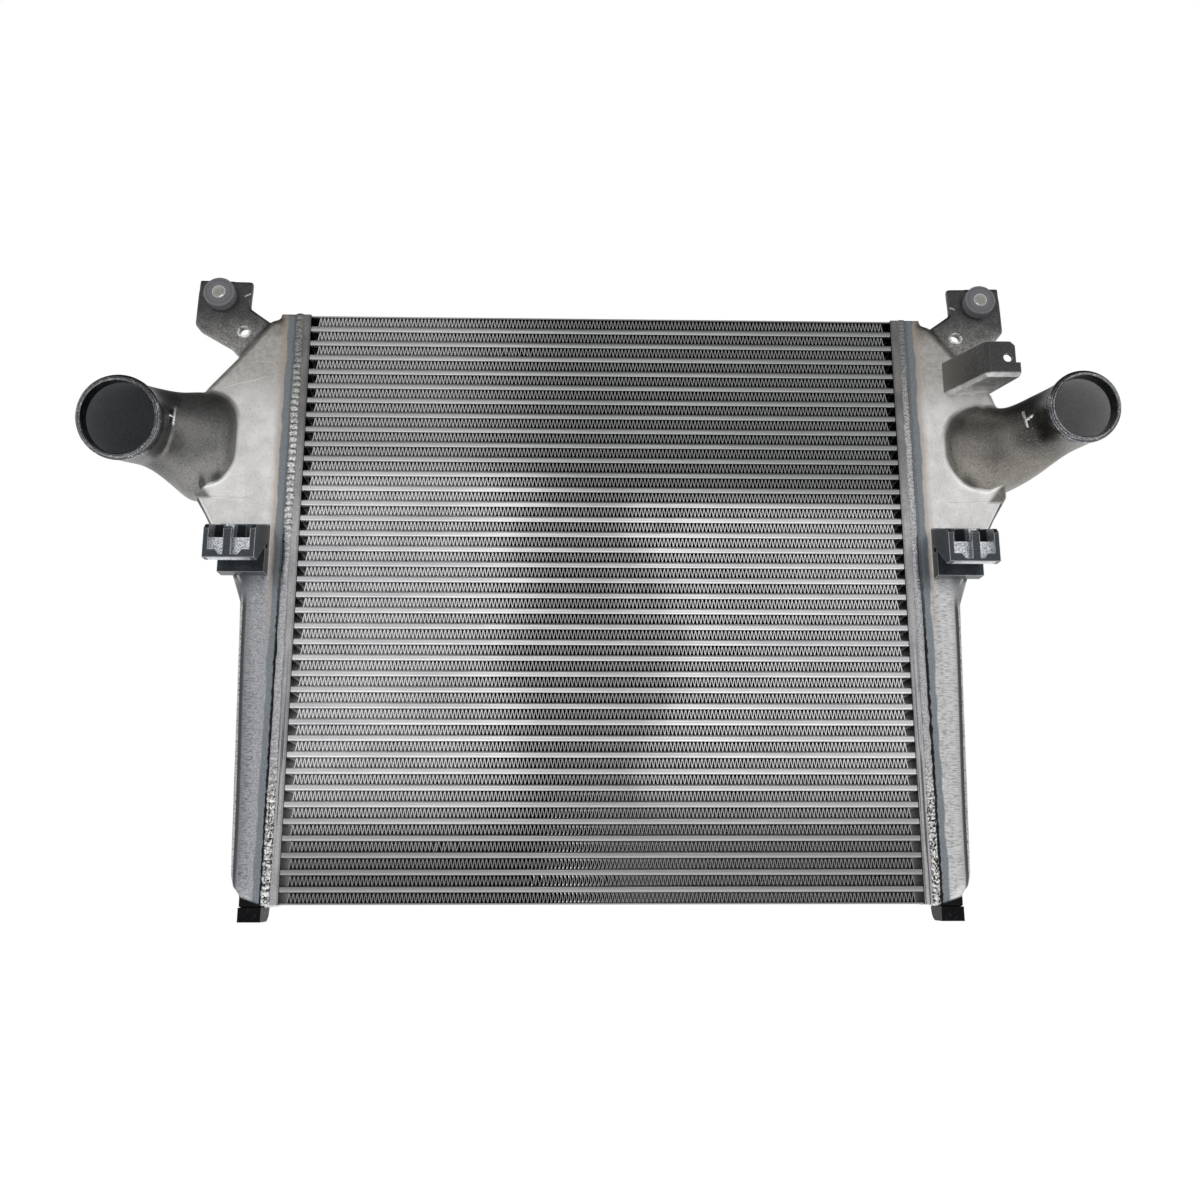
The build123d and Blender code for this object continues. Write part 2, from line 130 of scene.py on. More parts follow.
# A duct's root and bend follow one cubic from the middle of its housing to its
# straight neck, with root_pull and neck_pull as its handles. Its silhouette at the
# root is listed as (x, height) points.
LEFT_DUCT = {
    "radius": 44.45,
    "wall": 4.5,
    "bead": 1.8,
    "mouth": (525.6, -63.0, -180.6),
    "tilt": 13.0,
    "neck": 27.0,
    "root_rise": 28.0,
    "root_pull": 42.0,
    "neck_pull": 58.0,
    "inner_x": 415.5,
    "bottom_z": -239.0,
    "top_z": -120.0,
    "front_y": -18.5,
    "corner": 36.0,
    "upper": [(451.0, -120.0), (463.0, -119.5), (474.0, -120.5), (490.0, -123.0), (515.0, -140.0)],
    "lower": [
        (451.0, -241.0), (463.0, -248.0), (472.0, -245.0),
        (482.0, -236.0), (492.0, -226.0), (515.0, -210.0),
    ],
    "nib": 0.50,
    "nib_rise": 3.4,
}
RIGHT_DUCT = {
    "radius": 38.1,
    "wall": 3.6,
    "bead": 2.2,
    "mouth": (525.5, -78.0, -164.2),
    "tilt": 8.0,
    "neck": 30.0,
    "root_rise": 24.0,
    "root_pull": 62.0,
    "neck_pull": 46.0,
    "inner_x": 394.0,
    "bottom_z": -240.0,
    "top_z": -128.0,
    "front_y": -16.0,
    "corner": 46.0,
    "upper": [(440.0, -128.0), (452.0, -129.0), (466.0, -134.0), (500.0, -150.0)],
    "lower": [(440.0, -240.0), (464.0, -232.0), (490.0, -219.0), (510.0, -208.0), (530.0, -190.0)],
    "nib": 0.52,
    "nib_rise": 0.7,
}

# ---- weld beads: half width, height and length of a ripple ----
LEFT_BEAD = (5.2, 2.8, 7.5)
RIGHT_BEAD = (4.6, 1.9, 4.4)
BEAD_MIDDLE_X = 352.8
BEAD_INSET = 2.0  # of its root, inside the bead's own box
BEAD_STEP = 1.0
BEAD_SEGMENTS = 8
BEAD_LUMPS = 400  # more than there are ripples round either header
# Heights between which it is nearly even, left and right, and above which it is as well.
BEAD_CALM = {-1: (-560.0, -290.0), 1: (-560.0, 0.0)}
BEAD_CALM_TOP = -110.0
BEAD_CALM_FADE = 40.0
BEAD_REAR_HEIGHT = 0.6  # of the front's, so that the rear stays within the tank's depth

# ---- what the metal mirrors in front of it: (sine of the elevation, brightness) ----
STUDIO = [
    (0.0, 0.48), (0.08, 0.5), (0.2, 0.7), (0.33, 0.78), (0.43, 0.5), (0.52, 0.22), (1.0, 0.08),
]
EVEN_LIGHT = 0.88  # what reaches diffuse surfaces from all sides
# Two lamps: name, azimuth and elevation in degrees, width, height and power.
SOFTBOXES = [
    ("left_softbox", -20, 18, 1.3, 0.6, 1.3),
    ("right_softbox", 22, 14, 1.1, 0.9, 1.6),
]
SOFTBOX_DISTANCE = 2.6
SOFTBOX_AIM = (0, 0, -0.35)

# ---- the floor, well below the cooler ----
FLOOR_Z = -1300.0
FLOOR_HALF = 9000.0


# ---- materials ----


class Nodes:
    """A node tree and the short calls that it is written with."""

    def __init__(self, tree):
        self.tree = tree
        tree.nodes.clear()

    def put(self, socket, value):
        """Link a node's output to an input, or set the input's own value."""
        if isinstance(value, bpy.types.NodeSocket):
            self.tree.links.new(value, socket)
        elif isinstance(value, tuple) and len(value) == 3 and len(socket.default_value) == 4:
            socket.default_value = (*value, 1)
        else:
            socket.default_value = value

    def node(self, kind, **inputs):
        """A new node, with some of its inputs linked or set."""
        node = self.tree.nodes.new("ShaderNode" + kind)
        for name, value in inputs.items():
            self.put(node.inputs[name.replace("_", " ").title()], value)
        return node

    def ramp(self, value, low, high, low_to=0.0, high_to=1.0):
        """A value read from low to high, as low_to to high_to."""
        node = self.node(
            "MapRange", value=value, from_min=low, from_max=high, to_min=low_to, to_max=high_to
        )
        node.interpolation_type = "SMOOTHSTEP"
        return node.outputs["Result"]

    def math(self, kind, a, b=0.0):
        node = self.node("Math")
        node.operation = kind
        self.put(node.inputs[0], a)
        self.put(node.inputs[1], b)
        return node.outputs["Value"]

    def times(self, a, *others):
        """The product of some values."""
        for b in others:
            a = self.math("MULTIPLY", a, b)
        return a


class Look(Nodes):
    """A material; its patterns lie in the object's own coordinates, in metres."""

    def __init__(self, name, metallic=1.0, roughness=0.4, colour=(0.5, 0.5, 0.5)):
        self.material = bpy.data.materials.new(name)
        self.material.use_nodes = True
        super().__init__(self.material.node_tree)
        self.shader = self.node(
            "BsdfPrincipled", metallic=metallic, roughness=roughness, base_color=colour
        )
        self.node("OutputMaterial", surface=self.shader.outputs["BSDF"])
        self.place = self.node("TexCoord").outputs["Object"]

    def noise(self, size, detail=3.0, stretch=(1, 1, 1)):
        """Noise whose features are about as many metres across as size says."""
        place = self.node("Mapping", vector=self.place, scale=stretch).outputs["Vector"]
        node = self.node("TexNoise", vector=place, scale=1 / size, detail=detail, roughness=0.55)
        return node.outputs["Fac"]

    def mix(self, factor, a, b):
        node = self.node("Mix")
        node.data_type = "RGBA"
        self.put(node.inputs["Factor"], factor)
        self.put(node.inputs["A"], a)
        self.put(node.inputs["B"], b)
        return node.outputs["Result"]

    def fade(self, value, low, high, a, b):
        """From one tone to another as a value goes from low to high."""
        return self.mix(self.ramp(value, low, high), a, b)

    def axes(self):
        """The object's coordinates as three values, in metres."""
        node = self.node("SeparateXYZ", vector=self.place)
        return node.outputs["X"], node.outputs["Y"], node.outputs["Z"]

    def edges(self, radius):
        """1 on an edge and 0 on a flat face, from how far a bevelled normal turns."""
        bevel = self.node("Bevel", radius=radius)
        bevel.samples = 6
        dot = self.node("VectorMath")
        dot.operation = "DOT_PRODUCT"
        self.put(dot.inputs[0], bevel.outputs["Normal"])
        self.put(dot.inputs[1], self.node("NewGeometry").outputs["Normal"])
        return self.ramp(dot.outputs["Value"], 0.995, 0.85)

    def bump(self, height, distance, strength=1.0):
        node = self.node("Bump", strength=strength, distance=distance, height=height)
        self.put(self.shader.inputs["Normal"], node.outputs["Normal"])

    def colour(self, value):
        self.put(self.shader.inputs["Base Color"], value)

    def roughness(self, *ramp):
        self.put(self.shader.inputs["Roughness"], self.ramp(*ramp))


def painted_core_sheen(look, least):
    """Painted sheen on the core: a factor that is 1 where it is painted bright, sinks to least in
    a wandering band by its middle, and is 0 in its first and last rows, which are painted dull.
    """
    x, _, z = look.axes()
    wander = look.ramp(look.noise(0.09), 0.3, 0.7, -0.05, 0.01)
    aside = look.math("ABSOLUTE", look.math("SUBTRACT", x, wander))
    level = look.math("ADD", z, look.ramp(x, -0.12, 0.02, 0.0, 0.035))
    rows = look.times(look.ramp(level, -0.19, -0.235), look.ramp(z, -0.65, -0.52))
    return look.times(look.ramp(aside, 0.03, 0.13, least), rows)


def rolled_tube():
    """Satin tube sheet with faint draw lines along it, with painted light: darker in its first and
    last rows and by the core's middle, lighter towards the left, and painted shade where its ends
    run into the header.
    """
    look = Look("rolled_tube", roughness=0.3)
    drawn = look.noise(0.0011, stretch=(0.03, 1, 1))
    stain = look.noise(0.03, stretch=(0.3, 1, 1))
    x, y, z = look.axes()
    bright_tone = look.fade(stain, 0.35, 0.7, (0.95, 0.95, 0.96), (0.78, 0.78, 0.8))
    # painted shade and reflection: a lighter tone towards the left, a darker one in the last rows
    shaded_tone = look.fade(x, -0.05, -0.2, (0.42, 0.425, 0.43), (0.64, 0.64, 0.65))
    shaded_tone = look.fade(z, -0.57, -0.66, shaded_tone, (0.4, 0.4, 0.405))
    tone = look.mix(painted_core_sheen(look, 0.5), shaded_tone, bright_tone)
    out = look.ramp(look.math("ABSOLUTE", x), 0.331, 0.333)
    # painted shade on the tube ends where they run into the header, behind its front edge
    painted_gap_shade = look.times(look.ramp(y, 0.015, 0.019), look.ramp(y, 0.065, 0.061), out)
    look.colour(look.mix(painted_gap_shade, tone, (0.03, 0.03, 0.03)))
    look.roughness(drawn, 0.3, 0.7, 0.24, 0.36)
    look.bump(drawn, 0.00004)
    return look.material


def fin_sheet():
    """Thin bare sheet that scatters the light, a little dirty here and there, with painted light:
    bright at the sides, darker by the middle and in the last rows, and painted shade deep in its
    channels except at the sides.
    """
    look = Look("fin_sheet", metallic=0.35, roughness=0.42)
    x, y, z = look.axes()
    dirt = look.noise(0.045, detail=4)
    bright_tone = look.fade(dirt, 0.4, 0.7, (0.98, 0.98, 0.99), (0.86, 0.86, 0.87))
    # the side zones, painted bright and left without the painted channel shade
    left = look.ramp(x, -0.02, -0.2)
    right = look.ramp(x, 0.06, 0.24, 0.0, 0.55)
    # painted shade: a darker tone by the middle and in the last rows, lighter to the left
    shaded_tone = look.mix(left, (0.36, 0.365, 0.37), (0.66, 0.66, 0.67))
    shaded_tone = look.fade(z, -0.57, -0.66, shaded_tone, (0.3, 0.3, 0.305))
    tone = look.mix(painted_core_sheen(look, 0.2), shaded_tone, bright_tone)
    # painted shade in the fins' channels, between their front and back edges
    deep = look.times(look.ramp(y, 0.0135, 0.0165), look.ramp(y, 0.0665, 0.0635))
    painted_channel_shade = look.mix(deep, tone, (0.05, 0.052, 0.055))
    look.colour(look.mix(look.math("MAXIMUM", left, right), painted_channel_shade, tone))
    return look.material


def header_sheet():
    """The header's folded sheet: satin grey, scuffed, darker towards its top, with painted shade
    on its web inside the core, behind the front.
    """
    look = Look("header_sheet")
    x, y, z = look.axes()
    fine = look.noise(0.0014, detail=4)
    broad = look.noise(0.018, stretch=(1, 1, 0.4))
    pale = look.fade(broad, 0.35, 0.65, (0.44, 0.44, 0.45), (0.58, 0.575, 0.585))
    dark = look.fade(broad, 0.35, 0.65, (0.2, 0.2, 0.2), (0.3, 0.295, 0.29))
    tone = look.fade(z, -0.12, -0.30, dark, pale)
    tone = look.mix(look.ramp(fine, 0.45, 0.7, 0.0, 0.5), tone, (0.2, 0.2, 0.21))
    drawn = look.noise(0.0022, detail=2, stretch=(1, 1, 0.01))
    lines = look.times(look.ramp(drawn, 0.52, 0.58), look.ramp(z, -0.33, -0.55, 0.0, 0.8))
    tone = look.mix(lines, tone, (0.05, 0.05, 0.055))
    # painted shade on the header's web between the fins' ends, behind its front edge
    web_shade = look.ramp(look.math("ABSOLUTE", x), 0.3425, 0.3415)
    web_shade = look.times(look.ramp(y, 0.006, 0.012), look.ramp(y, 0.074, 0.068), web_shade)
    look.colour(look.mix(web_shade, tone, (0.02, 0.02, 0.022)))
    look.roughness(fine, 0.3, 0.7, 0.34, 0.5)
    look.bump(look.noise(0.004, detail=4), 0.0004, 0.6)
    return look.material


def weld_metal():
    """Bright rippled weld with dark pits between its lumps."""
    look = Look("weld_metal", roughness=0.26)
    fine = look.noise(0.0024, detail=4)
    x, _, z = look.axes()
    tone = look.fade(fine, 0.38, 0.58, (0.36, 0.36, 0.365), (0.86, 0.86, 0.85))
    swirl = look.math("ABSOLUTE", look.math("SUBTRACT", look.noise(0.006, detail=2), 0.5))
    swirl = look.times(look.ramp(swirl, 0.055, 0.02), look.ramp(z, -0.52, -0.6))
    tone = look.mix(swirl, tone, (0.02, 0.02, 0.022))
    above = look.ramp(z, -0.59, -0.53)
    calm = look.times(above, look.ramp(z, -0.26, -0.32))
    calm = look.math("MAXIMUM", calm, look.times(look.ramp(x, -0.01, 0.01), 0.75))
    calm = look.times(calm, above)
    flat = look.fade(fine, 0.36, 0.6, (0.4, 0.4, 0.42), (0.56, 0.56, 0.585))
    tone = look.mix(calm, tone, flat)
    look.colour(look.mix(look.ramp(z, -0.18, -0.05, 0.0, 0.75), tone, (0.2, 0.195, 0.185)))
    look.bump(look.noise(0.0024), 0.0008, 0.8)
    return look.material


def cast_tank():
    """A cast tank: a slate strip by the weld, a tan heat stain, the face, and the elbow, with
    bright edges that are partly wear and partly painted highlight, a painted highlight on the
    elbow's rim and painted shade along its lowest edge.
    """
    look = Look("cast_tank")
    x, y, z = look.axes()
    out = look.math("ABSOLUTE", x)
    speckle = look.noise(0.0014)
    tone = face_tone(look, speckle)
    edge = look.math("ADD", out, look.ramp(look.noise(0.03, detail=2), 0.3, 0.7, -0.0012, 0.0012))
    stain = look.times(look.ramp(edge, 0.3750, 0.3672), look.ramp(z, -0.46, -0.31, 0.0, 0.7))
    tone = look.mix(stain, tone, (0.52, 0.43, 0.355))
    slate = look.fade(speckle, 0.4, 0.65, (0.22, 0.25, 0.275), (0.31, 0.335, 0.355))
    tone = look.fade(edge, 0.3675, 0.3655, tone, slate)
    groove = look.math("ADD", out, look.ramp(look.noise(0.008), 0.2, 0.8, -0.001, 0.001))
    groove = look.times(look.ramp(groove, 0.3602, 0.3590), look.ramp(z, -0.28, -0.42, 0.25))
    tone = look.mix(groove, tone, (0.02, 0.02, 0.022))
    # bright edges: partly wear, partly painted highlight
    tone = look.mix(look.times(look.edges(0.0012), 0.6), tone, (0.85, 0.85, 0.85))
    back = look.fade(speckle, 0.4, 0.64, (0.3, 0.3, 0.3), (0.5, 0.5, 0.49))
    tone = look.fade(y, 0.012, 0.008, back, tone)
    beyond = look.times(look.ramp(out, 0.4632, 0.4640), look.ramp(z, -0.098, -0.102))
    elbow = look.math("MAXIMUM", look.ramp(y, 0.0050, 0.0042), beyond)
    slant = look.math("SUBTRACT", look.times(out, 0.8), look.times(z, 0.6))
    corner = look.times(look.ramp(slant, 0.4985, 0.5045), look.ramp(z, -0.252, -0.246))
    elbow = look.math("MAXIMUM", elbow, corner)
    # painted highlight on the rim round the elbow's housing, where it meets the face
    rim = look.times(
        look.ramp(y, 0.0054, 0.0046),
        look.ramp(y, 0.0018, 0.0034, 0.0, 0.7),
        look.ramp(out, 0.4600, 0.4540),
        look.ramp(slant, 0.5000, 0.4920),
    )
    tone = look.mix(elbow, tone, elbow_tone(look))
    tone = look.mix(rim, tone, (0.8, 0.8, 0.79))
    # painted shade: the tank's lowest edge, above each foot, goes nearly black
    shoulder = look.math("SUBTRACT", z, look.times(out, 0.35))
    look.colour(look.fade(shoulder, -0.8155, -0.8185, tone, (0.012, 0.012, 0.013)))
    look.roughness(speckle, 0.35, 0.65, 0.32, 0.46)
    look.bump(speckle, 0.0003, 0.5)
    return look.material


def face_tone(look, speckle):
    """The bare casting: beige at the top, nearly white by the elbow, mottled lower down."""
    x, _, z = look.axes()
    out = look.math("ABSOLUTE", x)
    cloud = look.noise(0.02, detail=4)
    blotch = look.noise(0.004, detail=5)
    fleck = look.noise(0.0011, detail=4, stretch=(0.5, 1, 1))
    hatch = look.noise(0.0012, detail=4, stretch=(0.15, 1, 1))
    bright_tone = look.fade(cloud, 0.3, 0.7, (0.95, 0.94, 0.93), (0.8, 0.79, 0.78))
    beige = look.fade(blotch, 0.34, 0.66, (0.5, 0.48, 0.45), (0.62, 0.6, 0.565))
    brown = look.fade(blotch, 0.34, 0.66, (0.26, 0.245, 0.225), (0.36, 0.34, 0.31))
    left = look.fade(fleck, 0.36, 0.64, (0.31, 0.32, 0.345), (0.56, 0.57, 0.595))
    right = look.fade(hatch, 0.34, 0.56, (0.4, 0.4, 0.405), (0.74, 0.74, 0.74))
    border = look.math("ADD", out, look.ramp(z, -0.36, -0.66, 0.0, 0.008))
    right = look.fade(border, 0.385, 0.399, right, (0.36, 0.36, 0.37))
    left = look.fade(border, 0.380, 0.399, left, (0.22, 0.23, 0.255))
    comb = look.times(look.ramp(border, 0.3795, 0.3810), look.ramp(z, -0.40, -0.48))
    comb = look.times(comb, look.ramp(hatch, 0.47, 0.39, 0.0, 0.6))
    left = look.mix(comb, left, (0.08, 0.082, 0.088))
    low = look.fade(x, -0.01, 0.01, left, right)
    tone = look.fade(z, -0.150, -0.085, bright_tone, beige)
    tone = look.fade(z, -0.062, -0.034, tone, brown)
    tone = look.fade(z, -0.262, -0.33, tone, low)
    # painted shade over the rounded outer edge below the duct, with a dashed painted highlight
    # along it
    straight = look.ramp(z, -0.352, -0.376)
    line = look.times(look.ramp(border, 0.3915, 0.3935), straight)
    tone = look.mix(line, tone, (0.1, 0.1, 0.105))
    line = look.times(
        look.ramp(border, 0.3960, 0.3968), straight, look.ramp(border, 0.3994, 0.3986)
    )
    tone = look.mix(look.times(line, look.ramp(speckle, 0.4, 0.5)), tone, (0.7, 0.7, 0.7))
    # a painted highlight along the sloped edge, with painted shade beyond it
    brim = look.math("SUBTRACT", look.times(out, 0.879), look.times(z, 0.477))
    sloped = look.times(look.ramp(z, -0.350, -0.338), look.ramp(z, -0.246, -0.251))
    line = look.times(look.ramp(brim, 0.5150, 0.5162), sloped)
    tone = look.mix(line, tone, (0.96, 0.96, 0.95))
    line = look.times(look.ramp(brim, 0.5174, 0.5186), sloped)
    tone = look.mix(line, tone, (0.07, 0.07, 0.075))
    return look.mix(look.ramp(speckle, 0.56, 0.74, 0.0, 0.45), tone, (0.3, 0.3, 0.3))


def elbow_tone(look):
    """The elbow as it left the mould: mid grey, a little browner on the right, with a grain like
    sand, and painted shade over the end of the right neck and, fainter, the left one.
    """
    x, _, z = look.axes()
    grain = look.noise(0.0017, detail=4)
    cloud = look.noise(0.03, detail=4)
    cold = look.fade(cloud, 0.3, 0.7, (0.17, 0.17, 0.168), (0.27, 0.265, 0.258))
    warm = look.fade(cloud, 0.3, 0.7, (0.19, 0.178, 0.16), (0.28, 0.265, 0.24))
    tone = look.fade(x, -0.01, 0.01, cold, warm)
    # painted shade over the upper side of the right neck towards its mouth
    neck_shade = look.times(look.ramp(x, 0.455, 0.487, 0.0, 0.88), look.ramp(z, -0.203, -0.182))
    tone = look.mix(neck_shade, tone, (0.03, 0.03, 0.031))
    # fainter painted shade over the left neck towards its mouth
    tone = look.mix(look.ramp(x, -0.470, -0.496, 0.0, 0.45), tone, (0.06, 0.06, 0.062))
    tone = look.mix(look.ramp(grain, 0.54, 0.72, 0.0, 0.55), tone, (0.42, 0.41, 0.39))
    return look.mix(look.ramp(grain, 0.46, 0.32, 0.0, 0.6), tone, (0.07, 0.07, 0.07))


def ear_casting():
    """The ear: dark and even at the top, lighter and sandier towards the tank, partly as its own
    colour and partly as a painted reflection; its bright edges are partly wear and partly painted
    highlight.
    """
    look = Look("ear_casting")
    z = look.axes()[2]
    grain = look.noise(0.0016, detail=4)
    cloud = look.noise(0.016)
    reach = look.math("ADD", z, look.ramp(cloud, 0.3, 0.7, -0.006, 0.006))
    dark = look.fade(grain, 0.4, 0.62, (0.085, 0.085, 0.087), (0.13, 0.13, 0.13))
    sandy_and_lit = look.fade(grain, 0.38, 0.62, (0.24, 0.235, 0.225), (0.52, 0.51, 0.49))
    # lighter towards the tank: partly sandier casting, partly a painted reflection
    tone = look.fade(reach, -0.012, -0.072, dark, sandy_and_lit)
    # bright edges: partly wear, partly painted highlight
    wear_and_highlight = look.times(look.edges(0.0011), 0.7)
    look.colour(look.mix(wear_and_highlight, tone, (0.75, 0.75, 0.75)))
    look.roughness(grain, 0.3, 0.7, 0.36, 0.5)
    look.bump(grain, 0.0003, 0.6)
    return look.material


def raised_marks():
    """Small raised rims and marks, rubbed bright."""
    look = Look("raised_marks", roughness=0.28)
    grain = look.noise(0.0018, detail=4)
    look.colour(look.fade(grain, 0.4, 0.58, (0.35, 0.35, 0.35), (0.92, 0.92, 0.9)))
    look.bump(grain, 0.0003, 0.5)
    return look.material


def turned_metal():
    """The turned end of a hose neck: dark and glossy, with bright nicked edges, partly wear and
    partly painted highlight.
    """
    look = Look("turned_metal", roughness=0.2)
    nick = look.noise(0.0022, detail=4)
    tone = look.mix(look.ramp(nick, 0.58, 0.66, 0.0, 0.7), (0.09, 0.093, 0.098), (0.6, 0.6, 0.62))
    # bright nicked edges: partly wear, partly painted highlight
    wear_and_highlight = look.times(look.edges(0.0011), look.ramp(nick, 0.36, 0.5, 0.35))
    look.colour(look.mix(wear_and_highlight, tone, (0.9, 0.9, 0.92)))
    look.bump(nick, 0.0002, 0.4)
    return look.material


def bore_surface():
    """The inside of a neck: cast and dark, browner and paler in the right one."""
    look = Look("bore_surface", metallic=0.25, roughness=0.42)
    x = look.axes()[0]
    grain = look.noise(0.0018, detail=4)
    left = look.fade(grain, 0.36, 0.66, (0.2, 0.215, 0.235), (0.3, 0.315, 0.335))
    right = look.fade(grain, 0.36, 0.66, (0.5, 0.505, 0.51), (0.66, 0.66, 0.66))
    look.colour(look.fade(x, -0.01, 0.01, left, right))
    look.bump(grain, 0.0003, 0.6)
    return look.material


def pocket_metal():
    """Slate casting, light along its edges as wear and painted highlight, silver and pitted inside
    its cells.
    """
    look = Look("pocket_metal", metallic=0.85)
    x, y, _ = look.axes()
    grain = look.noise(0.0018, detail=4)
    slate = look.fade(grain, 0.4, 0.65, (0.05, 0.058, 0.064), (0.085, 0.095, 0.105))
    pitted = look.noise(0.0011, detail=4)
    silver = look.fade(pitted, 0.38, 0.6, (0.28, 0.3, 0.33), (0.9, 0.92, 0.96))
    out = look.math("ABSOLUTE", x)
    cell = look.times(
        look.ramp(y, -0.0530, -0.0515),
        look.ramp(y, -0.030, -0.034),
        look.ramp(out, 0.4225, 0.4215),
        look.ramp(out, 0.3765, 0.3775),
    )
    tone = look.mix(cell, slate, silver)
    # light edges: partly wear, partly painted highlight
    look.colour(look.mix(look.edges(0.0010), tone, (0.86, 0.9, 0.94)))
    look.roughness(grain, 0.3, 0.7, 0.28, 0.42)
    look.bump(grain, 0.0003, 0.5)
    return look.material


def box_bracket_metal():
    """Cast grey box bracket: dark front, an underside painted pale as a reflection of the floor,
    bright edges that are partly wear and partly painted highlight.
    """
    look = Look("box_bracket_metal", metallic=0.9)
    _, y, z = look.axes()
    grain = look.noise(0.002, detail=4)
    blotch = look.noise(0.012)
    dark = look.fade(grain, 0.4, 0.65, (0.075, 0.075, 0.077), (0.1, 0.1, 0.1))
    side = look.fade(y, 0.004, -0.044, (0.26, 0.25, 0.23), (0.1, 0.097, 0.09))
    side = look.mix(look.ramp(grain, 0.5, 0.7, 0.0, 0.5), side, (0.3, 0.29, 0.27))
    # painted reflection of the pale floor on the underside
    underside_reflection = look.fade(blotch, 0.35, 0.65, (0.42, 0.42, 0.42), (0.66, 0.66, 0.65))
    tone = look.fade(y, -0.0505, -0.0485, dark, side)
    tone = look.fade(z, -0.1145, -0.1175, tone, underside_reflection)
    # bright edges: partly wear, partly painted highlight
    wear_and_highlight = look.times(look.edges(0.0009), 0.8)
    look.colour(look.mix(wear_and_highlight, tone, (0.75, 0.75, 0.76)))
    look.roughness(grain, 0.3, 0.7, 0.3, 0.44)
    look.bump(grain, 0.0003, 0.5)
    return look.material


def bush_polymer():
    """Blue-grey hard rubber, slightly mottled, paler on its rubbed rim."""
    look = Look("bush_polymer", metallic=0.0)
    grain = look.noise(0.0018, detail=4)
    x, _, z = look.axes()
    aside = look.math("SUBTRACT", look.math("ABSOLUTE", x), BUSH_PLACE[0] * MM)
    square = look.math("ADD", look.math("POWER", aside, 2.0), look.math("POWER", z, 2.0))
    away = look.math("SQRT", square)
    tone = look.fade(grain, 0.35, 0.65, (0.105, 0.106, 0.118), (0.155, 0.157, 0.168))
    ring = look.times(look.ramp(away, 0.0136, 0.0142), look.ramp(away, 0.0154, 0.0148))
    tone = look.mix(look.times(ring, 0.5), tone, (0.05, 0.05, 0.056))
    tone = look.fade(away, 0.0080, 0.0074, tone, (0.55, 0.54, 0.51))
    look.colour(look.mix(look.times(look.edges(0.0012), 0.5), tone, (0.3, 0.3, 0.33)))
    look.roughness(grain, 0.3, 0.7, 0.45, 0.6)
    look.bump(grain, 0.0002, 0.4)
    return look.material


def foot_rubber():
    """Black moulded rubber with a soft sheen and scuffed edges."""
    look = Look("foot_rubber", metallic=0.0)
    look.shader.inputs["IOR"].default_value = 1.12
    scuff = look.noise(0.003, detail=5)
    look.colour(look.fade(scuff, 0.55, 0.75, (0.006, 0.006, 0.007), (0.03, 0.03, 0.032)))
    look.roughness(scuff, 0.4, 0.7, 0.22, 0.4)
    look.bump(look.noise(0.005), 0.0004, 0.4)
    return look.material


def floor_paint():
    """A plain pale floor, as bright as the background where nothing shades it."""
    look = Look("floor_paint", metallic=0.0, roughness=0.8, colour=(0.86, 0.86, 0.86))
    look.shader.inputs["Specular IOR Level"].default_value = 0.1
    look.shader.inputs["Emission Color"].default_value = (1, 1, 1, 1)
    look.shader.inputs["Emission Strength"].default_value = 0.34
    return look.material


# ---- mesh helpers ----


def placed(name, data):
    """A new object in the scene."""
    thing = bpy.data.objects.new(name, data)
    bpy.context.scene.collection.objects.link(thing)
    return thing


def mesh_object(name, verts, faces, smooth=False):
    """An object from vertices in metres."""
    mesh = bpy.data.meshes.new(name)
    mesh.from_pydata(verts, [], faces)
    mesh.update()
    if smooth:
        mesh.polygons.foreach_set("use_smooth", [True] * len(mesh.polygons))
    return placed(name, mesh)


def from_bmesh(name, shape):
    """An object from a bmesh, which is freed."""
    mesh = bpy.data.meshes.new(name)
    shape.to_mesh(mesh)
    shape.free()
    return placed(name, mesh)


def add_prism(shape, outline, y0, y1, front_round, back_round):
    """A closed prism from an (x, z) outline in millimetres, its edges rounded."""
    front = [shape.verts.new((x * MM, y0 * MM, z * MM)) for x, z in outline]
    back = [shape.verts.new((x * MM, y1 * MM, z * MM)) for x, z in outline]
    count = len(outline)
    faces = [shape.faces.new(front), shape.faces.new(back[::-1])]
    for i in range(count):
        j = (i + 1) % count
        faces.append(shape.faces.new((front[j], front[i], back[i], back[j])))
    bmesh.ops.recalc_face_normals(shape, faces=faces)
    for ring, radius in ((front, front_round), (back, back_round)):
        if radius:
            edges = [shape.edges.get((ring[i], ring[(i + 1) % count])) for i in range(count)]
            bmesh.ops.bevel(
                shape, geom=edges, offset=radius * MM, segments=4, profile=0.5, affect="EDGES"
            )


def add_block(shape, low, high):
    """A closed block between two corners in millimetres."""
    outline = [(low[0], low[2]), (high[0], low[2]), (high[0], high[2]), (low[0], high[2])]
    add_prism(shape, outline, low[1], high[1], 0, 0)


def add_loft(shape, rings, closed=False):
    """A skin over rings of points in metres, capped at both ends unless it is closed."""
    loops = [[shape.verts.new(p) for p in ring] for ring in rings]
    count = len(rings[0])
    pairs = list(zip(loops, loops[1:]))
    if closed:
        pairs.append((loops[-1], loops[0]))
    faces = []
    for a, b in pairs:
        for i in range(count):
            j = (i + 1) % count
            faces.append(shape.faces.new((a[i], a[j], b[j], b[i])))
    if not closed:
        faces.append(shape.faces.new(loops[0][::-1]))
        faces.append(shape.faces.new(loops[-1]))
    bmesh.ops.recalc_face_normals(shape, faces=faces)


def circle(centre, along, radius, count, start):
    """Points round a centre, square to a direction; start tells where the first one lies."""
    across = along.cross(start).normalized()
    other = across.cross(along).normalized()
    turns = [2 * math.pi * i / count for i in range(count)]
    return [centre + (across * math.cos(t) + other * math.sin(t)) * radius for t in turns]


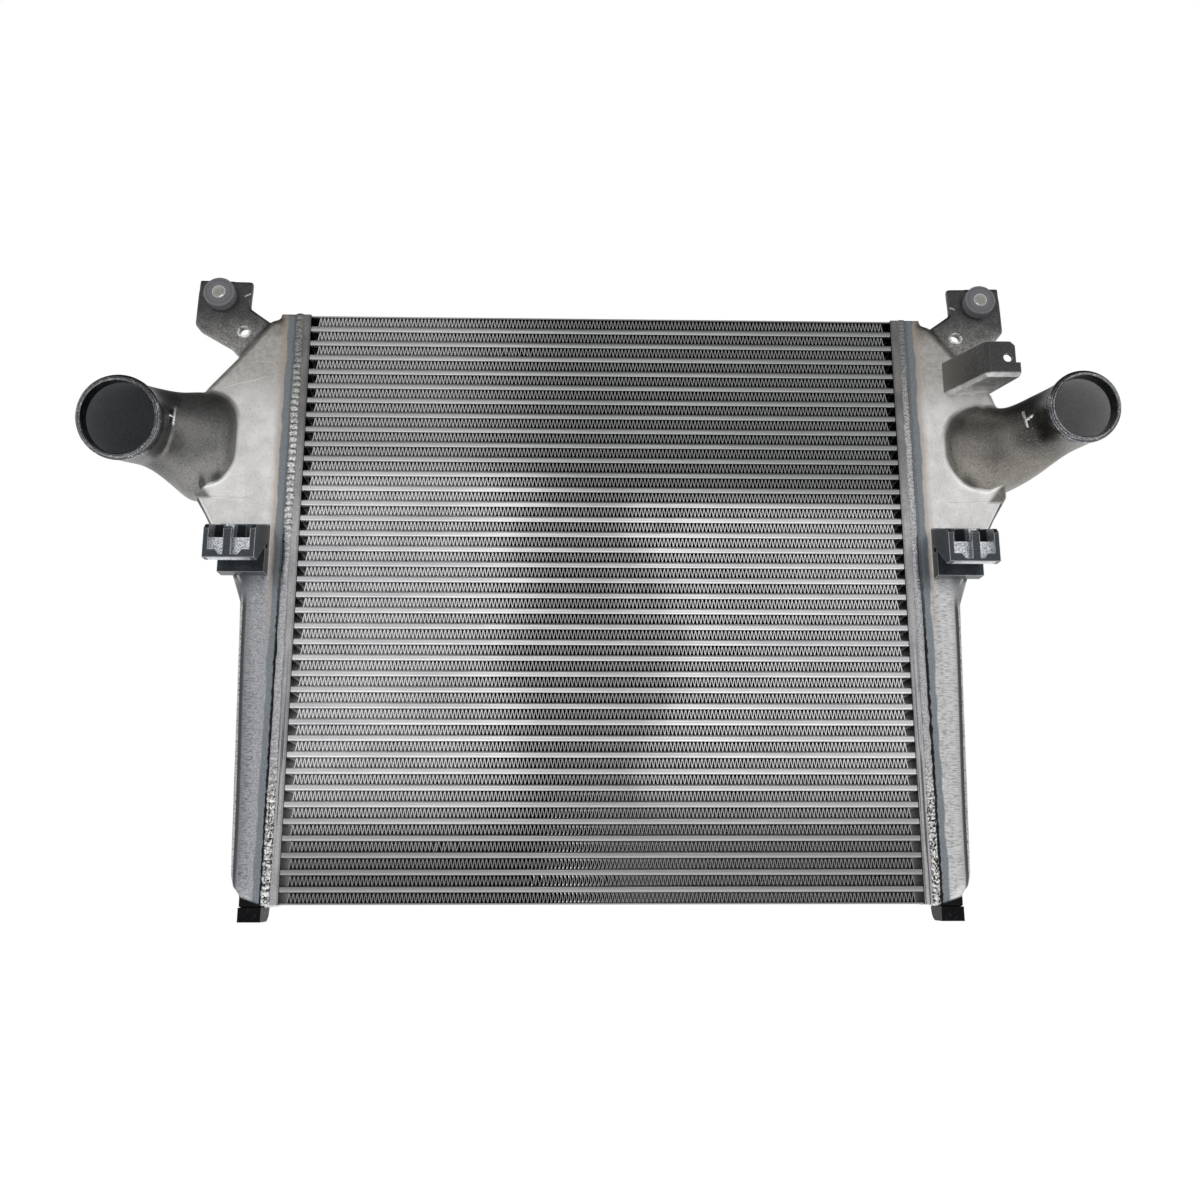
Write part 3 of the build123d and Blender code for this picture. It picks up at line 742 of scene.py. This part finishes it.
def add_wire(shape, points, radius):
    """A round bar along a few points, in millimetres."""
    places = [Vector(p) * MM for p in points]
    rings = []
    for i, place in enumerate(places):
        along = (places[min(i + 1, len(places) - 1)] - places[max(i - 1, 0)]).normalized()
        rings.append(circle(place, along, radius * MM, 8, Vector((0.02, 1, 0.01))))
    add_loft(shape, rings)


def evaluated(thing):
    """A copy of an object's mesh with its modifiers applied."""
    graph = bpy.context.evaluated_depsgraph_get()
    return bpy.data.meshes.new_from_object(thing.evaluated_get(graph))


def discard(thing):
    """Take a helper object away, with its mesh."""
    mesh = thing.data
    bpy.data.objects.remove(thing)
    bpy.data.meshes.remove(mesh)


# ---- core ----


def tube_mesh(name, box):
    """A flat tube, its noses rounded at the corners and nearly flat between them."""
    (x0, y0, z0), (x1, y1, z1) = box
    half = (z1 - z0) / 2
    middle = (z0 + z1) / 2
    nose = NOSE_LENGTH * MM
    profile = []
    for step in range(NOSE_SEGMENTS + 1):
        turn = math.pi * step / NOSE_SEGMENTS
        out = abs(math.sin(turn)) ** (2 / NOSE_SQUARENESS)
        up = math.copysign(abs(math.cos(turn)) ** (2 / NOSE_SQUARENESS), math.cos(turn))
        profile.append((y0 + nose * (1 - out), middle + half * up))
    profile += [(y0 + y1 - y, 2 * middle - z) for y, z in profile]
    count = len(profile)
    verts = [(x, y, z) for x in (x0, x1) for y, z in profile]
    faces = [[i, (i + 1) % count, count + (i + 1) % count, count + i] for i in range(count)]
    faces.append(list(range(count)))
    faces.append([count + i for i in range(count)][::-1])
    return mesh_object(name, verts, faces, smooth=True)


def fins(box, tubes):
    """Every fin strip at its true pitch, folded between the tubes on each side of it."""
    (x0, y0, z0), (x1, y1, z1) = box
    levels = [z1] + [z for low, high in tubes for z in (high[2], low[2])] + [z0]
    waves = round((x1 - x0) / (FIN_PITCH * MM))
    step = (x1 - x0 - FIN_SHEET * MM) / waves / 2
    stations = [(y0, 0.0), ((y0 + y1) / 2, FIN_SWEEP * MM), (y1, 0.0)]
    shuffle = random.Random(7)
    verts, faces = [], []
    for row in range(len(levels) // 2):
        top, bottom = levels[2 * row], levels[2 * row + 1]
        start = len(verts)
        for fold in range(2 * waves + 1):
            x = x0 + fold * step
            z = bottom if fold % 2 == 0 else top
            knocked = any(row == r and abs(x - at * MM) < reach * MM for r, at, reach in NICKS)
            loose = (KNOCKED_FOLD if knocked else LOOSE_FOLD) * shuffle.uniform(-1, 1) * step
            for y, aside in stations:
                aside += loose if y == y0 and 0 < fold < 2 * waves else 0
                near = min(x + aside, x1 - FIN_SHEET * MM)
                verts += [(near, y, z), (near + FIN_SHEET * MM, y, z)]
        for fold in range(2 * waves):
            a = start + 6 * fold
            b = a + 6
            faces += [[a, b, b + 1, a + 1], [a + 4, a + 5, b + 5, b + 4]]
            for near in (0, 2):
                far = near + 2
                faces.append([a + near, a + far, b + far, b + near])
                faces.append([a + near + 1, b + near + 1, b + far + 1, a + far + 1])
    return mesh_object("folded_fins", verts, faces)


# ---- end tanks ----


def facing(duct):
    """The direction that a duct's mouth looks in."""
    tilt = math.radians(duct["tilt"])
    return Vector((0, -math.cos(tilt), -math.sin(tilt)))


def duct_cubic(duct):
    """The four control points of the root and the bend, in millimetres."""
    begin = Vector(
        (duct["inner_x"] + duct["corner"], DUCT_MID_Y, (duct["top_z"] + duct["bottom_z"]) / 2)
    )
    end = Vector(duct["mouth"]) - facing(duct) * duct["neck"]
    rise = math.radians(duct["root_rise"])
    leave = Vector((math.cos(rise), 0, math.sin(rise)))
    return begin, begin + leave * duct["root_pull"], end - facing(duct) * duct["neck_pull"], end


def duct_path(duct, steps):
    """Centres and headings along the root and the bend."""
    a, b, c, d = duct_cubic(duct)
    path = []
    for step in range(steps + 1):
        t = step / steps
        s = 1 - t
        centre = a * s**3 + b * 3 * t * s * s + c * 3 * t * t * s + d * t**3
        heading = (b - a) * s * s + (c - b) * 2 * t * s + (d - c) * t * t
        path.append((centre, heading.normalized()))
    return path


def level_to(heading):
    """The direction square to a heading that is nearest to the duct's own up."""
    up = Vector((0, 0, 1))
    return (up - heading * up.dot(heading)).normalized()


def section(centre, heading, up, down, deep, power, count=72):
    """An oval section: its half heights above and below, half depth, and squareness."""
    level = level_to(heading)
    across = heading.cross(level)
    ring = []
    for i in range(count):
        turn = 2 * math.pi * i / count
        c, s = math.cos(turn), math.sin(turn)
        u = math.copysign(abs(c) ** (2 / power), c) * deep
        w = math.copysign(abs(s) ** (2 / power), s) * (up if s > 0 else down)
        ring.append((centre + across * u + level * w) * MM)
    return ring


def read_table(table, x):
    """A height read from (x, height) points."""
    for (x0, z0), (x1, z1) in zip(table, table[1:]):
        if x < x1:
            return z0 + (z1 - z0) * max(0, x - x0) / (x1 - x0)
    return table[-1][1]


def larger(a, b):
    """The larger of two lengths, blended where they are nearly alike."""
    return (a + b + math.sqrt((a - b) ** 2 + HEIGHT_BLEND**2)) / 2


def duct_stations(duct):
    """The path's centres, with headings that stay level until the bend takes over."""
    stations = []
    for step, (centre, heading) in enumerate(duct_path(duct, DUCT_STEPS)):
        turned = min(1, max(0, (step / DUCT_STEPS - 0.35) / 0.5))
        heading.z *= turned * turned * (3 - 2 * turned)
        stations.append((centre, heading.normalized()))
    return stations


def duct_heights(duct):
    """How far the skin stands above and below each of those centres, smoothly changing."""
    radius = duct["radius"]
    ups, downs = [], []
    for centre, heading in duct_stations(duct):
        slope = max(0.5, level_to(heading).z)
        ups.append(larger(radius, (read_table(duct["upper"], centre.x) - centre.z) * slope))
        downs.append(larger(radius, (centre.z - read_table(duct["lower"], centre.x)) * slope))
    for step in range(DUCT_STEPS + 1):
        settle = min(1, max(0, (step / DUCT_STEPS - 0.4) / 0.3))
        ups[step] += (radius - ups[step]) * settle
        downs[step] += (radius - downs[step]) * settle
    for heights in (ups, downs):
        for _ in range(HEIGHT_SMOOTHINGS):
            ends = [heights[0]] + heights + [radius]
            heights[:] = [(a + 2 * b + c) / 4 for a, b, c in zip(ends, ends[1:], ends[2:])]
    return ups, downs


def duct_rings(duct):
    """The housing on the tank's face, its flare, the bend and the neck, as one skin."""
    radius = duct["radius"]
    ups, downs = duct_heights(duct)
    half = (duct["top_z"] - duct["bottom_z"]) / 2
    middle = (duct["top_z"] + duct["bottom_z"]) / 2
    deep = DUCT_MID_Y - duct["front_y"]
    corner = duct["corner"]
    path = duct_stations(duct)
    rings = []
    for step in range(HOUSING_STEPS):
        turned = math.pi / 2 * step / HOUSING_STEPS
        x = corner * (1 - math.cos(turned))
        tall = half - corner + corner * math.sin(turned)
        short = HOUSING_EDGE - math.sqrt(HOUSING_EDGE**2 - max(HOUSING_EDGE - x, 0) ** 2)
        centre = Vector((duct["inner_x"] + x, DUCT_MID_Y, middle))
        heading = Vector((1, 0, 0)).lerp(path[0][1], (step / HOUSING_STEPS) ** 2).normalized()
        rings.append(section(centre, heading, tall, tall, deep - short, HOUSING_POWER))
    for step, (centre, heading) in enumerate(path):
        t = step / DUCT_STEPS
        squareness = 2 + (HOUSING_POWER - 2) * max(0, 1 - 2 * t) ** 1.5
        across = deep + (radius - deep) * min(1, 2.5 * t)
        rings.append(section(centre, heading, ups[step], downs[step], across, squareness))
    ahead = facing(duct)
    last = Vector(duct["mouth"]) - ahead * NECK_TURNED
    rings.append(section(last, ahead, radius, radius, radius, 2))
    return rings


def tank_blank(duct):
    """Everything cast in one with the tank, before it is bored."""
    shape = bmesh.new()
    add_prism(shape, TANK_OUTLINE, TANK_FRONT_Y, TANK_BACK_Y, FRONT_ROUND, BACK_ROUND)
    add_block(shape, *RIM)
    add_prism(shape, EAR_OUTLINE, EAR_FRONT_Y, EAR_BACK_Y, EAR_ROUND, EAR_ROUND)
    add_block(shape, *FOOT_SHOULDER)
    add_loft(shape, duct_rings(duct))
    thing = from_bmesh("blank", shape)
    remesh = thing.modifiers.new("remesh", "REMESH")
    remesh.mode = "VOXEL"
    remesh.voxel_size = VOXEL * MM
    remesh.use_smooth_shade = True
    soften = thing.modifiers.new("soften", "SMOOTH")
    soften.factor = 0.5
    soften.iterations = 3
    return thing


def tank_cutters(duct):
    """The bore, the bush's seat and the stud hole."""
    shape = bmesh.new()
    radius = duct["radius"] - duct["wall"] + BORE_PLAY
    path = duct_path(duct, BORE_STEPS)[BORE_START:]
    rings = [section(c, h, radius, radius, radius, 2, 64) for c, h in path]
    ahead = facing(duct)
    past = Vector(duct["mouth"]) + ahead * 5
    rings.append(section(past, ahead, radius, radius, radius, 2, 64))
    add_loft(shape, rings)
    for (x, z), size in ((BUSH_PLACE, BUSH_SEAT_RADIUS + 0.2), (STUD_PLACE, STUD_RADIUS)):
        ends = [Vector((x, y, z)) * MM for y in (EAR_FRONT_Y - 6, EAR_BACK_Y + 6)]
        away = Vector((0, 1, 0))
        add_loft(shape, [circle(end, away, size * MM, 40, Vector((1, 0, 0))) for end in ends])
    return from_bmesh("cutters", shape)


def add_turning(shape, centre, away, profile, count=96):
    """A closed ring turned round an axis: (distance back, radius) points in millimetres."""
    start = Vector((0, 0, 1)) if abs(away.z) < 0.9 else Vector((1, 0, 0))
    rings = []
    for back, radius in profile:
        rings.append(circle((centre - away * back) * MM, away, radius * MM, count, start))
    add_loft(shape, rings, closed=True)


def neck_turning(shape, duct):
    """The turned end of the neck: lip, raised ring, groove and the first of the bore."""
    r, bead = duct["radius"], duct["bead"]
    bore = r - duct["wall"]
    lip = [(0.0, bore + 1.0), (0.0, r - 1.6), (0.9, r - 0.8), (3.6, r - 0.8)]
    ring = [
        (4.4, r + bead * 0.5), (5.0, r + bead * 0.9), (5.8, r + bead),
        (8.4, r + bead), (9.2, r + bead * 0.8), (9.8, r + bead * 0.2),
    ]
    groove = [(10.2, r - 0.7), (12.6, r - 0.7), (13.6, r + 0.05), (NECK_TURNED + 4, r + 0.1)]
    inside = [(NECK_TURNED + 4, bore + 1.5), (NECK_TURNED + 3, bore), (1.0, bore)]
    add_turning(shape, Vector(duct["mouth"]), facing(duct), lip + ring + groove + inside)


def stud_rim(shape):
    """The raised rim round the stud hole."""
    x, z = STUD_PLACE
    r = STUD_RADIUS
    profile = [(-1.8, r), (-1.8, r + 1.2), (-1.3, r + 2.0), (2.0, r + 2.6), (2.0, r)]
    add_turning(shape, Vector((x, EAR_FRONT_Y, z)), Vector((0, -1, 0)), profile, 48)


def duct_nib(shape, duct):
    """The small raised mark on the side of the bend: a bar and a stem."""
    steps = 50
    centre, heading = duct_path(duct, steps)[round(duct["nib"] * steps)]
    level = level_to(heading)
    side = heading.cross(level).normalized()
    side = side if side.x < 0 else -side
    r = duct["radius"]

    def on_skin(along, up):
        turn = side * math.cos(up / r) + level * math.sin(up / r)
        return centre + heading * along + turn * (r + duct["nib_rise"])

    add_wire(shape, [on_skin(0, up) for up in (-10, -6, -2, 2, 6, 10)], NIB_BAR)
    add_wire(shape, [on_skin(along, along * 0.2 - 1) for along in (1, 5, 9, 13)], NIB_STEM)


def claim(body, before, zone):
    """Smooth the faces that were added since, and give them their material."""
    for face in body.faces:
        if face not in before:
            face.material_index = zone
            face.smooth = True


def end_tank(side, duct, looks):
    """A cast end tank; side is -1 for the left one, which is drawn mirrored."""
    blank = tank_blank(duct)
    rough = placed("rough", evaluated(blank))
    discard(blank)
    cutters = tank_cutters(duct)
    cut = rough.modifiers.new("bore", "BOOLEAN")
    cut.operation = "DIFFERENCE"
    cut.solver = "MANIFOLD"
    cut.object = cutters
    body = bmesh.new()
    body.from_mesh(evaluated(rough))
    discard(rough)
    discard(cutters)
    line = [centre for centre, _ in duct_path(duct, BORE_STEPS)] + [Vector(duct["mouth"])]
    for face in body.faces:
        face.smooth = True
        face.material_index = tank_zone(face.calc_center_median() / MM, duct, line)
    before = set(body.faces)
    neck_turning(body, duct)
    claim(body, before, TURNED)
    before = set(body.faces)
    stud_rim(body)
    duct_nib(body, duct)
    add_wire(body, EAR_DASH[side], 0.8)
    claim(body, before, MARKS)
    for crease in CREASES:
        add_wire(body, crease, 0.55)
    if side < 0:
        bmesh.ops.scale(body, vec=(-1, 1, 1), verts=body.verts)
        bmesh.ops.reverse_faces(body, faces=body.faces)
    tank = from_bmesh("cast_tank_left" if side < 0 else "cast_tank_right", body)
    for look in looks:
        tank.data.materials.append(look)
    tank.data.set_sharp_from_angle(angle=math.radians(38))
    return tank


def tank_zone(place, duct, line):
    """Which material a point of the tank has."""
    x, y, z = place
    if z > max(seam_height(x), EAR_LOWEST_Z) and y > EAR_FRONT_Y - EAR_ROUND:
        return EAR
    least_x, greatest_y, beyond = BORE_ZONE
    if x < least_x or y > greatest_y:
        return CASTING
    if not duct["bottom_z"] - beyond < z < duct["top_z"] + beyond:
        return CASTING
    inside = duct["radius"] - duct["wall"] * 0.4
    near = any(off_segment(place, a, b) < inside for a, b in zip(line, line[1:]))
    return BORE if near else CASTING


def off_segment(place, a, b):
    """How far a point is from a straight stretch."""
    run = b - a
    along = min(1, max(0, (place - a).dot(run) / run.length_squared))
    return (place - a - run * along).length


def seam_height(x):
    """Height of the slanting seam between the tank's top corner and the ear."""
    (x0, z0), (x1, z1) = EAR_SEAM
    return z0 + (x - x0) * (z1 - z0) / (x1 - x0)


# ---- weld beads ----


def weld_lumps(side, size, low, high):
    """A rippled bead round the joint between a header and its tank."""
    half_width, bead_height, ripple = size
    y0, y1 = low[1] / MM + BEAD_INSET, high[1] / MM - BEAD_INSET
    z0, z1 = low[2] / MM + BEAD_INSET, high[2] / MM - BEAD_INSET
    corners = [(y0, z1), (y0, z0), (y1, z0), (y1, z1)]
    middle = ((y0 + y1) / 2, (z0 + z1) / 2)
    shuffle = random.Random(11 if side < 0 else 23)
    lumps = [(shuffle.uniform(0.5, 1.0), shuffle.uniform(-0.9, 0.9)) for _ in range(BEAD_LUMPS)]
    rings = []
    gone = 0.0
    for (ya, za), (yb, zb) in zip(corners, corners[1:] + corners[:1]):
        length = math.hypot(yb - ya, zb - za)
        steps = round(length / BEAD_STEP)
        away = Vector((0, ya + yb, za + zb)) / 2 - Vector((0, *middle))
        outward = Vector((0, away.y, 0)) if abs(yb - ya) < 1 else Vector((0, 0, away.z))
        outward.normalize()
        for step in range(steps):
            t = step / steps
            run = (gone + step * length / steps) / ripple
            tall, shift = lumps[int(run)]
            phase = run - int(run)
            swell = math.sin(math.pi * phase) ** 0.6
            level = za + (zb - za) * t
            inside = min(level - BEAD_CALM[side][0], BEAD_CALM[side][1] - level)
            inside = max(inside, level - BEAD_CALM_TOP) / BEAD_CALM_FADE
            swell *= 1 - 0.8 * min(1, max(0, inside))
            height = bead_height * (0.58 + 0.42 * tall * swell)
            height *= BEAD_REAR_HEIGHT if outward.y > 0 else 1
            width = half_width * (0.82 + 0.2 * tall * swell)
            wander = 1.2 * noise.noise(Vector((run * 0.35, side * 3.0, 0))) + shift * swell * 0.6
            centre = Vector((BEAD_MIDDLE_X + wander, ya + (yb - ya) * t, level))
            ring = []
            for i in range(BEAD_SEGMENTS + 1):
                turn = math.pi * i / BEAD_SEGMENTS
                across = -math.cos(turn) * width
                up = math.sin(turn) * height
                ring.append((centre + Vector((across, 0, 0)) + outward * up) * MM)
            rings.append(ring)
        gone += length
    shape = bmesh.new()
    loops = [[shape.verts.new((p.x * side, p.y, p.z)) for p in ring] for ring in rings]
    for a, b in zip(loops, loops[1:] + loops[:1]):
        for i in range(BEAD_SEGMENTS):
            shape.faces.new((a[i], a[i + 1], b[i + 1], b[i]))
    bmesh.ops.recalc_face_normals(shape, faces=shape.faces)
    for face in shape.faces:
        face.smooth = True
    return from_bmesh("weld_ripples_left" if side < 0 else "weld_ripples_right", shape)


# ---- build ----


def carry(thing, replaced):
    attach(thing, "root")
    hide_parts(replaced)


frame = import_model()
nodes = frame["nodes"]

looks = {
    "core_tube": rolled_tube(),
    "core_fins": fin_sheet(),
    "header": header_sheet(),
    "weld_bead": weld_metal(),
    "end_tank": cast_tank(),
    "mount_bush": bush_polymer(),
    "pocket_bracket": pocket_metal(),
    "box_bracket": box_bracket_metal(),
    "rubber_foot": foot_rubber(),
}
looks["side_plate"] = looks["core_tube"]
for name, node in nodes.items():
    look = next(look for start, look in looks.items() if name.startswith(start))
    for slot in node.material_slots:
        slot.material = look

tube_names = sorted(n for n in nodes if n.startswith("core_tube_"))
tube_boxes = [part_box(n) for n in tube_names]
for name, box in zip(tube_names, tube_boxes):
    tube = tube_mesh(name + "_rolled", box)
    tube.data.materials.append(looks["core_tube"])
    carry(tube, name)
folded = fins(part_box("core_fins"), tube_boxes)
folded.data.materials.append(looks["core_fins"])
carry(folded, "core_fins")

tank_looks = [looks["end_tank"], ear_casting(), turned_metal(), raised_marks(), bore_surface()]
sides = ((-1, "left", LEFT_DUCT, LEFT_BEAD), (1, "right", RIGHT_DUCT, RIGHT_BEAD))
for side, name, duct, bead_size in sides:
    carry(end_tank(side, duct, tank_looks), f"end_tank_{name}")
    bead = weld_lumps(side, bead_size, *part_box(f"weld_bead_{name}"))
    bead.data.materials.append(looks["weld_bead"])
    carry(bead, f"weld_bead_{name}")


# ---- camera and light ----


def camera():
    data = bpy.data.cameras.new("camera")
    data.sensor_width = data.sensor_height = SENSOR
    data.sensor_fit = "HORIZONTAL"
    data.lens = SENSOR * LENS_TO_SENSOR
    data.clip_end = 50
    thing = placed("camera", data)
    yaw = Matrix.Rotation(math.radians(-CAMERA_YAW), 4, "Z")
    pitch = Matrix.Rotation(math.radians(90 + CAMERA_PITCH), 4, "X")
    roll = Matrix.Rotation(math.radians(CAMERA_ROLL), 4, "Z")
    thing.matrix_world = Matrix.Translation(CAMERA_PLACE) @ yaw @ pitch @ roll
    bpy.context.scene.camera = thing


def floor():
    reach = FLOOR_HALF * MM
    z = FLOOR_Z * MM
    corners = [(-reach, -reach, z), (reach, -reach, z), (reach, reach, z), (-reach, reach, z)]
    plane = mesh_object("floor", corners, [[0, 1, 2, 3]])
    plane.data.materials.append(floor_paint())


def softbox(name, azimuth, elevation, width, height, power):
    """A soft lamp in front of the object, turned to its middle."""
    azimuth, elevation = math.radians(azimuth), math.radians(elevation)
    heading = Vector((
        math.sin(azimuth) * math.cos(elevation),
        -math.cos(azimuth) * math.cos(elevation),
        math.sin(elevation),
    ))
    data = bpy.data.lights.new(name, "AREA")
    data.shape = "RECTANGLE"
    data.size = width
    data.size_y = height
    data.energy = power
    turn = (-heading).to_track_quat("-Z", "Y").to_matrix().to_4x4()
    place = Matrix.Translation(Vector(SOFTBOX_AIM) + heading * SOFTBOX_DISTANCE)
    placed(name, data).matrix_world = place @ turn


def world():
    """White to the camera and behind the object; even for diffuse light; graded in front."""
    studio = bpy.data.worlds.new("studio")
    bpy.context.scene.world = studio
    studio.use_nodes = True
    tree = Nodes(studio.node_tree)

    def background(colour, strength=1.0):
        return tree.node("Background", color=colour, strength=strength).outputs[0]

    def choose(factor, a, b):
        made = tree.node("MixShader")
        for socket, value in zip(made.inputs, (factor, a, b)):
            tree.put(socket, value)
        return made.outputs[0]

    path = tree.node("LightPath").outputs
    heading = tree.node("TexCoord").outputs["Generated"]
    heading = tree.node("SeparateXYZ", vector=heading).outputs
    behind = tree.ramp(heading["Y"], -0.1, 0.35)
    low = tree.ramp(heading["Z"], 0.7, 0.4)
    mirror = tree.math("MAXIMUM", path["Is Glossy Ray"], path["Is Transmission Ray"])
    seen = tree.math("MAXIMUM", path["Is Camera Ray"], tree.times(mirror, behind, low))

    graded = tree.node("ValToRGB")
    tree.put(graded.inputs[0], heading["Z"])
    stops = graded.color_ramp.elements
    stops[0].position, stops[1].position = STUDIO[0][0], STUDIO[-1][0]
    stops[0].color, stops[1].color = (*3 * (STUDIO[0][1],), 1), (*3 * (STUDIO[-1][1],), 1)
    for height, tone in STUDIO[1:-1]:
        stops.new(height).color = (*3 * (tone,), 1)

    front = background(graded.outputs["Color"])
    even = choose(path["Is Diffuse Ray"], front, background((1, 1, 1), EVEN_LIGHT))
    tree.node("OutputWorld", surface=choose(seen, even, background((1, 1, 1))))


camera()
floor()
world()
for lamp in SOFTBOXES:
    softbox(*lamp)
bpy.context.scene.view_settings.view_transform = "Standard"
